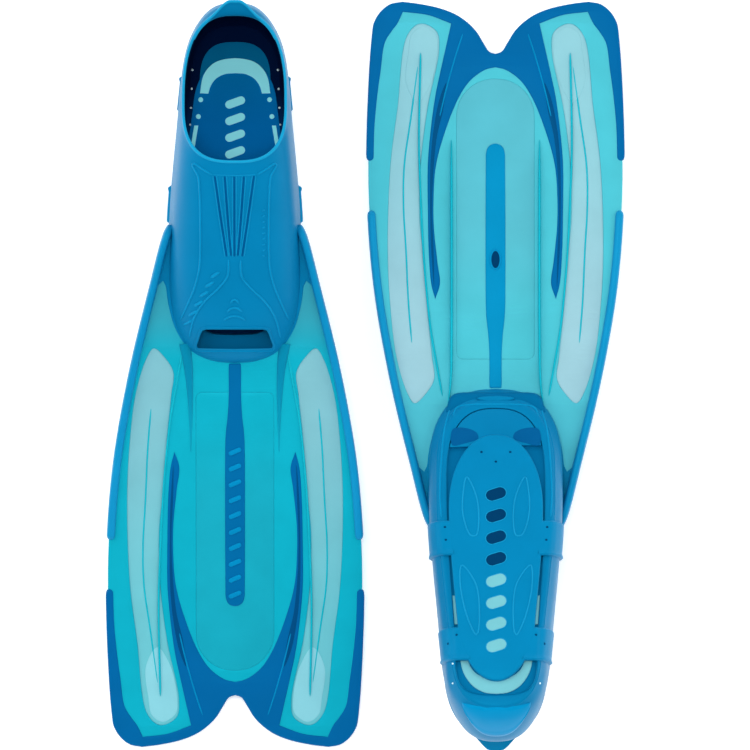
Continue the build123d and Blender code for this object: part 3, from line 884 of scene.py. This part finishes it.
def make_instep(side, shoe):
    """The raised lines, narrow grooves drawn as flat dark strips of painted shade, and small marks on top of
    the foot.
    """
    parts = []
    for line in INSTEP_LINES:
        for half in both(line):
            parts.append((on_top(shoe, half, 1.7, 0.95), POCKET_LINE))
    for groove in INSTEP_GROOVES:
        halves = both(groove) if groove[0][0] else [np.array(groove)]
        for half in halves:
            # A nearly flat dark strip: painted shade in place of a cut groove.
            parts.append((on_top(shoe, half, 1.7, 0.14, taper=1.5), POCKET_GROOVE_SHADE))
            for shift in (-1.35, 1.35):
                parts.append((on_top(shoe, half + [shift, 0], 1.1, 0.7, taper=2.0), POCKET_LINE))
    top = [(-16.6, 137.4), (-8.0, 137.8), (0.0, 138.0), (8.0, 137.8), (16.6, 137.4)]
    parts.append((on_top(shoe, np.array(top), 1.0, 0.4), POCKET_LINE))
    for i in range(6):  # plain raised dashes beside the middle lines
        c, d = np.array([36.0 - 4.2 * i, 252.0 - 7.4 * i]), np.array([3.6, 2.2])
        parts.append((on_top(shoe, [c + d, c, c - d], 2.6, 1.1, taper=1.5), POCKET_LINE))
    for i in range(9):  # a row of small studs on the other side
        c, d = np.array([-22.4, 165.0 + 4.4 * i]), np.array([1.3, 0.5])
        parts.append((on_top(shoe, [c - d, c, c + d], 1.4, 0.7, taper=1.0, step=0.6), POCKET_LINE))
    for i in range(3):  # plain chevrons above the toe slot
        y, w = 234.0 + 6.4 * i, 3.4 + 2.6 * i
        chevron = [(-w, y + 3.4), (-w / 2, y + 0.8), (0, y), (w / 2, y + 0.8), (w, y + 3.4)]
        parts.append((on_top(shoe, chevron, 1.7, 1.0, taper=1.5), POCKET_LINE))
    slot_lip = [(0.0, 255.9), (22.6, 255.9), (26.0, 257.6), (27.6, 261.6), (30.4, 270.4), (29.4, 273.2),
                (26.6, 273.9), (0.0, 274.2)]
    loop = mirror_close(slot_lip)
    loop = np.vstack([loop, loop[:2]])
    parts.append((on_top(shoe, smooth(loop, 1.5), 2.2, 0.8, taper=0.01, low=-1.0), POCKET))
    obj = make("instep_relief", side, parts, body="foot pocket")


def to_fin(part):
    points, faces = part
    return foot(points), faces


# The pale arc round the heel, from inside the shoe and from under it: 6 points outside, then 5 inside.
HEEL_ARC_TOP = [(0.0, 45.5), (8.0, 46.3), (15.5, 48.8), (21.5, 54.0), (25.2, 61.0), (27.2, 73.0),
                (20.7, 73.2), (18.8, 67.0), (14.6, 61.4), (8.0, 58.0), (0.0, 57.2)]
HEEL_ARC_LOW = [(0.0, 48.7), (9.0, 49.8), (17.0, 54.0), (23.0, 60.9), (26.4, 68.4), (27.9, 77.4),
                (22.0, 77.6), (20.2, 70.4), (15.4, 64.4), (8.6, 61.4), (0.0, 60.7)]


def arc_slab(half, z0, z1, face):
    outer, inner = smooth(half[:6], 1.5), smooth(half[6:], 1.5)
    loop = plumb(mirror_close(np.vstack([outer, inner])), z0, face)[:, :2]
    return to_fin(slab([loop], z0, z1, 0.3, 0.3))


def make_insole(side):
    """The footbed, with a sheet of painted shade at the toe, and the pale frame showing through it as an arc,
    bars, dots and slivers, which glow as painted light.
    """
    edge = foot_outline(plumb_y(45.0, MARK_TOP, "top"), 238.0, 46.0, (0.16, 2.3, 0.25, 2.6, 0.66))[::4]
    parts = [(to_fin(slab([edge], 2.2, INSOLE_TOP, 0.5, 0.1)), INSOLE)]
    # A dark sheet over the toe end of the insole: painted shade under the toe box.
    toe = edge[edge[:, 1] > 196.0] * [0.96, 1.0]
    parts.append((to_fin(slab([toe], 3.4, 5.0, 0.4, 0.1)), TOE_SHADE))
    parts.append((arc_slab(HEEL_ARC_TOP, 3.6, 4.7, "top"), SOLE_FRAME_IN_GLOW))
    for i in range(10):
        bar = slanted_bar(plumb_y(80.0 + 13.0 * i, MARK_TOP, "top"), 20.0, 16.0, 6.4)
        parts.append((to_fin(slab([bar], 3.6, MARK_TOP + 0.1, 0.3, 0.1)), SOLE_FRAME_IN_GLOW))
    sliver = [(28.4, 98.0), (31.6, 98.0), (34.4, 116.0), (36.0, 140.0), (33.0, 140.0), (31.4, 116.0)]
    for sign in (-1, 1):
        for x, y in ((26.6, 77.8), (28.4, 91.0)):
            spot = oval(sign * x, plumb_y(y, MARK_TOP, "top"), 1.9, 1.9)
            parts.append((to_fin(slab([spot], 3.6, MARK_TOP + 0.1, 0.5, 0.1)), SOLE_FRAME_IN_GLOW))
        loop = plumb(np.array(sliver) * [sign, 1], MARK_TOP, "top")[:, :2]
        parts.append((to_fin(slab([loop], 3.6, MARK_TOP, 0.3, 0.1)), SOLE_FRAME_IN_GLOW))
    obj = make("insole_visual", side, parts, body="foot pocket")
    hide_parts(f"{side}_insole")


def make_pin_holes(side, shoe):
    """Painted glints: small white balls for the light spots along the inner walls of the heel."""
    spots = []
    for x, y in ((16.5, 45.6), (33.0, 54.6), (33.6, 69.4), (34.2, 84.2), (34.8, 97.5)):
        for sign in (-1, 1):
            for centre in shoe.above([(sign * x, y)]):
                spots.append((ball(centre, 0.95), GLINT))
    obj = make("pin_hole_painted_glints", side, spots, body="foot pocket")


def ball(centre, radius):
    rings = []
    for a in np.linspace(-1.45, 1.45, 8):
        loop = oval(0, 0, radius * math.cos(a), radius * math.cos(a), 14)
        rings.append(np.column_stack([loop, np.full(14, radius * math.sin(a))]) + centre)
    return skin(rings)


def dome(centre, radius, high):
    """A small flat button that points down."""
    rings = []
    for f, z in ((1.0, -0.6), (1.0, 0.0), (0.8, 0.7), (0.4, 1.0)):
        loop = oval(0, 0, radius * f, radius * f, 16)
        rings.append(np.column_stack([loop, np.full(16, -z * high)]) + centre)
    return skin(rings)


SOLE_ENDS = (0.22, 2.0, 0.30, 2.1, 0.76)
SOLE_REAR, SOLE_FRONT, SOLE_HALF = 7.5, 208.0, 36.3


def outsole_loop():
    return foot_outline(SOLE_REAR, SOLE_FRONT, SOLE_HALF, SOLE_ENDS)


def on_sole(points, z):
    """Sole details given by the plan of a fin that lies sole up, at height z of the foot frame."""
    return plumb(points, z, "sole")


def closed_path(loop):
    """A loop that runs on over its own start, for a bead without ends."""
    return np.vstack([loop, loop[:2]])


def hanging_bead(path, width, height):
    """A bead that stands out downwards, on a path of the foot frame."""
    points, faces = bead(path * [1, 1, -1], width, height, taper=0.01)
    return to_fin((points * [1, 1, -1], [f[::-1] for f in faces]))


LEAF_MARKS = [
    [(22.5, 215.0), (25.1, 204.3), (25.3, 185.8), (19.6, 170.4), (15.4, 170.2), (14.2, 196.3)],
    [(26.4, 147.2), (27.7, 134.5), (22.8, 109.3), (15.4, 93.9), (14.0, 95.8), (15.2, 131.6)],
]


def make_outsole(side):
    """The outsole, with raised leaf outlines, slanted bars in place of lettering, and three pin holes."""
    points, faces = slab([outsole_loop()[::3]], SOLE_LOW, -0.4, 0.2, 1.3, steps=4)
    points[:, 2] += 0.15 * np.maximum(14.0 - points[:, 1], 0)
    parts = [(to_fin((points, faces)), SOLE)]
    for mark in LEAF_MARKS:
        for half in both(mark):
            path = on_sole(closed_path(smooth(half, 1.2, closed=True)), SOLE_LOW)
            parts.append((hanging_bead(path, 1.1, 0.5), SOLE_MARK))
    for i in range(8):
        bar = slanted_bar(plumb_y(202.0 - 16.6 * i, SOLE_LOW, "sole"), -18.0, 16.4, 9.6)
        mat = HOLE if i < 4 else SOLE_FRAME
        parts.append((to_fin(slab([bar], SOLE_LOW - 0.12, SOLE_LOW + 0.6, 0.05, 0.1)), mat))
        parts.append((hanging_bead(level_ring(closed_path(bar), SOLE_LOW), 0.7, 0.35), SOLE_MARK))
    for spot in foot(on_sole([(-11.1, 234.2), (11.1, 234.2), (0.0, 226.8)], SOLE_LOW)):
        parts.append((dome(spot, 1.0, 0.25), HOLE))
    obj = make("outsole_visual", side, parts, body="foot pocket")
    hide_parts(f"{side}_outsole")


def make_sole_frame(side, shoe):
    """The tray round the outsole, with the pale frame showing in it."""
    tray = foot_outline(-3.0, 229.4, 37.5, TRAY_ENDS)[::3]
    parts = [(to_fin(slab([tray], -0.15, FLOOR_TOP - 0.4, 0.1, 0.1)), POCKET_LOW)]
    front = tray[tray[:, 1] > plumb_y(238.0, -3.4, "sole")]
    parts.append((to_fin(slab([front], STRAP_LOW, 0.2, 0.1, 0.5)), POCKET))
    # Dark slabs at the two front corners of the toe's underside: painted shade in its recesses.
    recess = [(33.0, 252.0), (22.0, 252.6), (14.5, 249.0), (13.5, 245.0), (24.0, 241.0), (33.5, 239.6)]
    for sign in (-1, 1):
        loop = on_sole(smooth(np.array(recess) * [sign, 1], 2.0, closed=True), -3.6)[:, :2]
        parts.append((to_fin(slab([loop], -3.65, -3.0, 0.1, 0.1)), POCKET_RECESS_SHADE))
    parts.append((arc_slab(HEEL_ARC_LOW, -1.0, 0.2, "sole"), SOLE_FRAME))
    sliver = [(28.6, 102.0), (32.0, 102.0), (33.6, 124.0), (30.6, 124.0)]
    for sign in (-1, 1):
        loop = on_sole(np.array(sliver) * [sign, 1], -1.2)[:, :2]
        parts.append((to_fin(slab([loop], -1.2, 0.2, 0.2, 0.2)), SOLE_FRAME))
    # Painted glints: near-white dots and balls for the light spots at the heel.
    for spot in foot(on_sole([(-17.9, 47.9), (15.6, 47.9)], -0.2)):
        parts.append((dome(spot, 0.8, 0.2), GLINT))
    for spot in shoe.below([(33.4, 71.8), (33.4, 56.7), (-33.4, 56.7)]):
        parts.append((ball(spot, 0.8), GLINT))
    obj = make("sole_frame_visual", side, parts, body="foot pocket")
    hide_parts(f"{side}_sole_frame")


def make_toe_underside(side, shoe):
    line = [(35.0, 268.0), (39.4, 252.0), (42.0, 228.0), (43.0, 200.0), (42.0, 184.0)]
    parts = [(under(shoe, np.array(line) * [sign, 1], 1.6, 0.6), POCKET_LINE) for sign in (-1, 1)]
    rim = [(-33.0, 262.0), (-30.0, 268.5), (-22.0, 270.6), (0.0, 271.2), (22.0, 270.6), (30.0, 268.5),
           (33.0, 262.0)]
    parts.append((under(shoe, rim, 1.5, 0.5), POCKET_LINE))
    obj = make("toe_underside_relief", side, parts, body="foot pocket")


STRAPS = {"rear": (74.2, 99.8), "front": (154.6, 181.6)}
STRAP_PINS = {"rear": ((36.8, 87.0), (30.4, 93.8)), "front": ((39.3, 176.4), (38.6, 166.6))}
STRAP_LEAN = 0.2  # towards the toe, for each mm up the side


def strap_line(shoe, y, inner, sign):
    """A strap's line from the outsole, round the corner and up the side, as (out, up), and its lengths."""
    heights = np.linspace(-2.2, 25.0, 22)
    upright = [(shoe.beside(y + STRAP_LEAN * (z - STRAP_LOW), z, sign), z) for z in heights]
    edge = upright[0][0]
    bottom = [(x, STRAP_LOW) for x in np.linspace(inner, edge - 2.2, 8)]
    line = np.array(bottom + [(edge - 0.7, STRAP_LOW + 0.3)] + upright)
    run = lengths(line)
    s = np.linspace(0, run[-1], 44)
    line = np.stack([np.interp(s, run, line[:, 0]), np.interp(s, run, line[:, 1])], 1)
    for _ in range(2):
        line[1:-1] = 0.25 * line[:-2] + 0.5 * line[1:-1] + 0.25 * line[2:]
    return line, s


def strap_part(shoe, y0, y1, sign):
    """A band from the outsole's edge, round the corner and up the shoe's side: a domed patch with a lip."""
    start, end = plumb_y(y0, STRAP_LOW, "sole"), plumb_y(y1, STRAP_LOW, "sole")
    width = end - start
    rounded = np.array([0, 0.25, 0.6, 1.1, 1.8])
    across = np.concatenate([rounded, np.linspace(2.6, width - 2.6, 14), width - rounded[::-1]])
    sole = outsole_loop()
    half = sole[sole[:, 0] > 0]
    rows = []
    for d in across:
        y = start + d
        inner = np.interp(y, half[:, 1], half[:, 0]) - 2.0
        line, s = strap_line(shoe, y, inner, sign)
        t = np.gradient(line, axis=0)
        t /= np.linalg.norm(t, axis=1)[:, None]
        normal = np.stack([t[:, 1], -t[:, 0]], 1)
        top_end = np.array([dome_end(gap, 2.2, 0.0) for gap in s[-1] - s])
        lip = 0.9 * math.exp(-((d - 2.0) / 1.3) ** 2) if d < width / 2 else 0.0
        high = (STRAP_T * dome_end(min(d, width - d), 1.8, 0.0) + lip) * top_end - 0.05
        out, up = (line + normal * high[:, None]).T
        rows.append(np.column_stack([sign * out, y + STRAP_LEAN * (up - STRAP_LOW), up]))
    points, faces = sheet(rows)
    return foot(points), faces


def make_straps(side, shoe):
    for where, (y0, y1) in STRAPS.items():
        for sign, letter in ((-1, "a"), (1, "b")):
            points, faces = strap_part(shoe, y0, y1, sign)
            parts = [((points, faces), SOLE)]
            tree = BVHTree.FromPolygons([Vector(p) for p in points], faces)
            for x, y in STRAP_PINS[where]:
                start = np.array([sign * x, y, 0]) + FAR * UPRIGHT["sole"]
                hit = tree.ray_cast(Vector(start), Vector(-UPRIGHT["sole"]))[0]
                if hit is not None:
                    parts.append((dome(np.array(hit[:]), 1.0, 0.2), HOLE))
            obj = make(f"{where}_strap_visual_{letter}", side, parts, body="foot pocket")
            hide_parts(f"{side}_{where}_strap_{letter}")


def make_tread(side, shoe):
    """The half-moon tread on the back of the heel, thick in its middle and with a lip near its lower edge."""
    thick, lip = 1.5, 0.6
    u = np.linspace(-1, 1, 41)
    upper = np.stack([26.5 * u, 38.6 + 3.6 * np.abs(u) ** 2.2], 1)
    lower = np.stack([26.5 * u, 15.5 + 26.7 * np.abs(u) ** 2.6], 1)
    rows = []
    for v in np.linspace(0, 1, 17):
        middle = thick * dome_end(min(v, 1 - v), 1 / 6, 0.0) + lip * math.exp(-((v - 0.9) / 0.06) ** 2)
        row = []
        for out, plan in zip(np.abs(u), upper + (lower - upper) * v):
            row.append(shoe.below([plan], middle * dome_end(1 - out, 1 / 8, 0.0) - 0.05)[0])
        rows.append(row)
    obj = make("heel_tread_visual", side, [(sheet(rows), SOLE_HEEL)], body="foot pocket")
    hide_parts(f"{side}_heel_tread")


def cut_toe_slot(obj, side):
    """Cuts the opening over the toes, along the upright of the fin that lies sole down."""
    half = [(0.0, 257.4), (22.0, 257.4), (24.6, 258.2), (26.0, 260.6), (29.2, 270.0), (28.6, 271.6),
            (27.0, 272.0), (0.0, 272.4)]
    points, faces = slab([mirror_close(half)], 0.0, 60.0, 0.01, 0.01, steps=1)
    points[:, 1] += points[:, 2] * UPRIGHT["top"][1] / UPRIGHT["top"][2]
    # The slot's cut walls take the second material, the inside's painted shade.
    cutter = new_object("slot_cutter", side, points, faces, [1] * len(faces), [POCKET, POCKET_IN_SHADE])
    weld(cutter.data, JOIN_GAP / 10)
    mod = obj.modifiers.new("slot", "BOOLEAN")
    mod.operation = "DIFFERENCE"
    mod.solver = "EXACT"
    mod.object = cutter
    bpy.context.view_layer.update()
    graph = bpy.context.evaluated_depsgraph_get()
    done = bpy.data.meshes.new_from_object(obj.evaluated_get(graph))
    obj.modifiers.clear()
    obj.data = done
    done.attributes.remove(done.attributes["fin_co"])
    store_fin_co(done, side)
    bpy.data.objects.remove(cutter)


# ---- light, floor and camera ----
def make_floor():
    reach, level = 4.0, -0.0002
    corners = [(x * reach, y * reach, level) for x, y in ((-1, -1), (1, -1), (1, 1), (-1, 1))]
    mesh = bpy.data.meshes.new("floor")
    mesh.from_pydata(corners, [], [(0, 1, 2, 3)])
    floor = bpy.data.objects.new("floor", mesh)
    bpy.context.scene.collection.objects.link(floor)
    mat = bpy.data.materials.new("pale_floor")
    mat.use_nodes = True
    shader = mat.node_tree.nodes["Principled BSDF"]
    shader.inputs["Base Color"].default_value = (0.93, 0.93, 0.93, 1)
    shader.inputs["Roughness"].default_value = 0.9
    shader.inputs["Specular IOR Level"].default_value = 0.0
    shader.inputs["Emission Color"].default_value = (1, 1, 1, 1)
    shader.inputs["Emission Strength"].default_value = 0.4
    mesh.materials.append(mat)


def make_sky():
    """White light from all round, dimmer overhead, so that flat tops keep their colour."""
    world = bpy.data.worlds.new("studio")
    bpy.context.scene.world = world
    world.use_nodes = True
    tree = world.node_tree
    background = tree.nodes["Background"]
    background.inputs["Color"].default_value = (1, 1, 1, 1)
    way = tree.nodes.new("ShaderNodeTexCoord")
    split = tree.nodes.new("ShaderNodeSeparateXYZ")
    tree.links.new(way.outputs["Generated"], split.inputs[0])
    strength = add_range(tree, split.outputs["Z"], 0.45, 0.95, 0.85, 0.25, soft=True)
    tree.links.new(strength, background.inputs["Strength"])


# name, place, size, power
LIGHTS = [
    ("key_left", (-1.5, 0.35, 1.15), (1.2, 2.4), 14.0),
    ("key_right", (1.5, 0.1, 1.15), (1.2, 2.4), 12.0),
    ("far", (0.0, 1.8, 1.2), (2.4, 0.9), 6.0),
    ("near", (0.1, -1.8, 1.0), (2.4, 0.9), 8.0),
    ("overhead", (-0.15, 0.25, 2.4), (0.7, 0.7), 20.0),
]


def make_lights():
    """Soft panels, all turned to the middle of the fins."""
    for name, where, size, power in LIGHTS:
        light = bpy.data.lights.new(name, "AREA")
        light.shape = "RECTANGLE"
        light.size, light.size_y = size
        light.energy = power
        lamp = bpy.data.objects.new(name, light)
        lamp.location = where
        lamp.rotation_mode = "QUATERNION"
        lamp.rotation_quaternion = (Vector((0, 0, 0.03)) - Vector(where)).to_track_quat("-Z", "Y")
        bpy.context.scene.collection.objects.link(lamp)


def make_camera():
    """A far camera straight above, which shows this width at this height."""
    distance, width, height = 14.0, 0.5785, 0.03
    camera = bpy.data.cameras.new("camera")
    camera.sensor_width = 36.0
    camera.lens = camera.sensor_width * (distance - height) / width
    camera.shift_x = 9.7 / 750
    camera.clip_end = 50.0
    obj = bpy.data.objects.new("camera", camera)
    obj.location = (0.0, 0.0, distance)
    obj.rotation_euler = (0.0, 0.0, 0.0)
    bpy.context.scene.collection.objects.link(obj)
    bpy.context.scene.camera = obj


def main():
    make_floor()
    make_sky()
    make_lights()
    make_camera()
    for side in ("left", "right"):
        make_blade(side)
        make_trim(side)
        make_spine(side)
        make_rails(side)
        shoe = make_pocket(side)
        make_flange(side)
        make_instep(side, shoe)
        make_insole(side)
        make_pin_holes(side, shoe)
        make_outsole(side)
        make_sole_frame(side, shoe)
        make_toe_underside(side, shoe)
        make_straps(side, shoe)
        make_tread(side, shoe)
    bpy.context.scene.view_settings.view_transform = "Standard"


main()
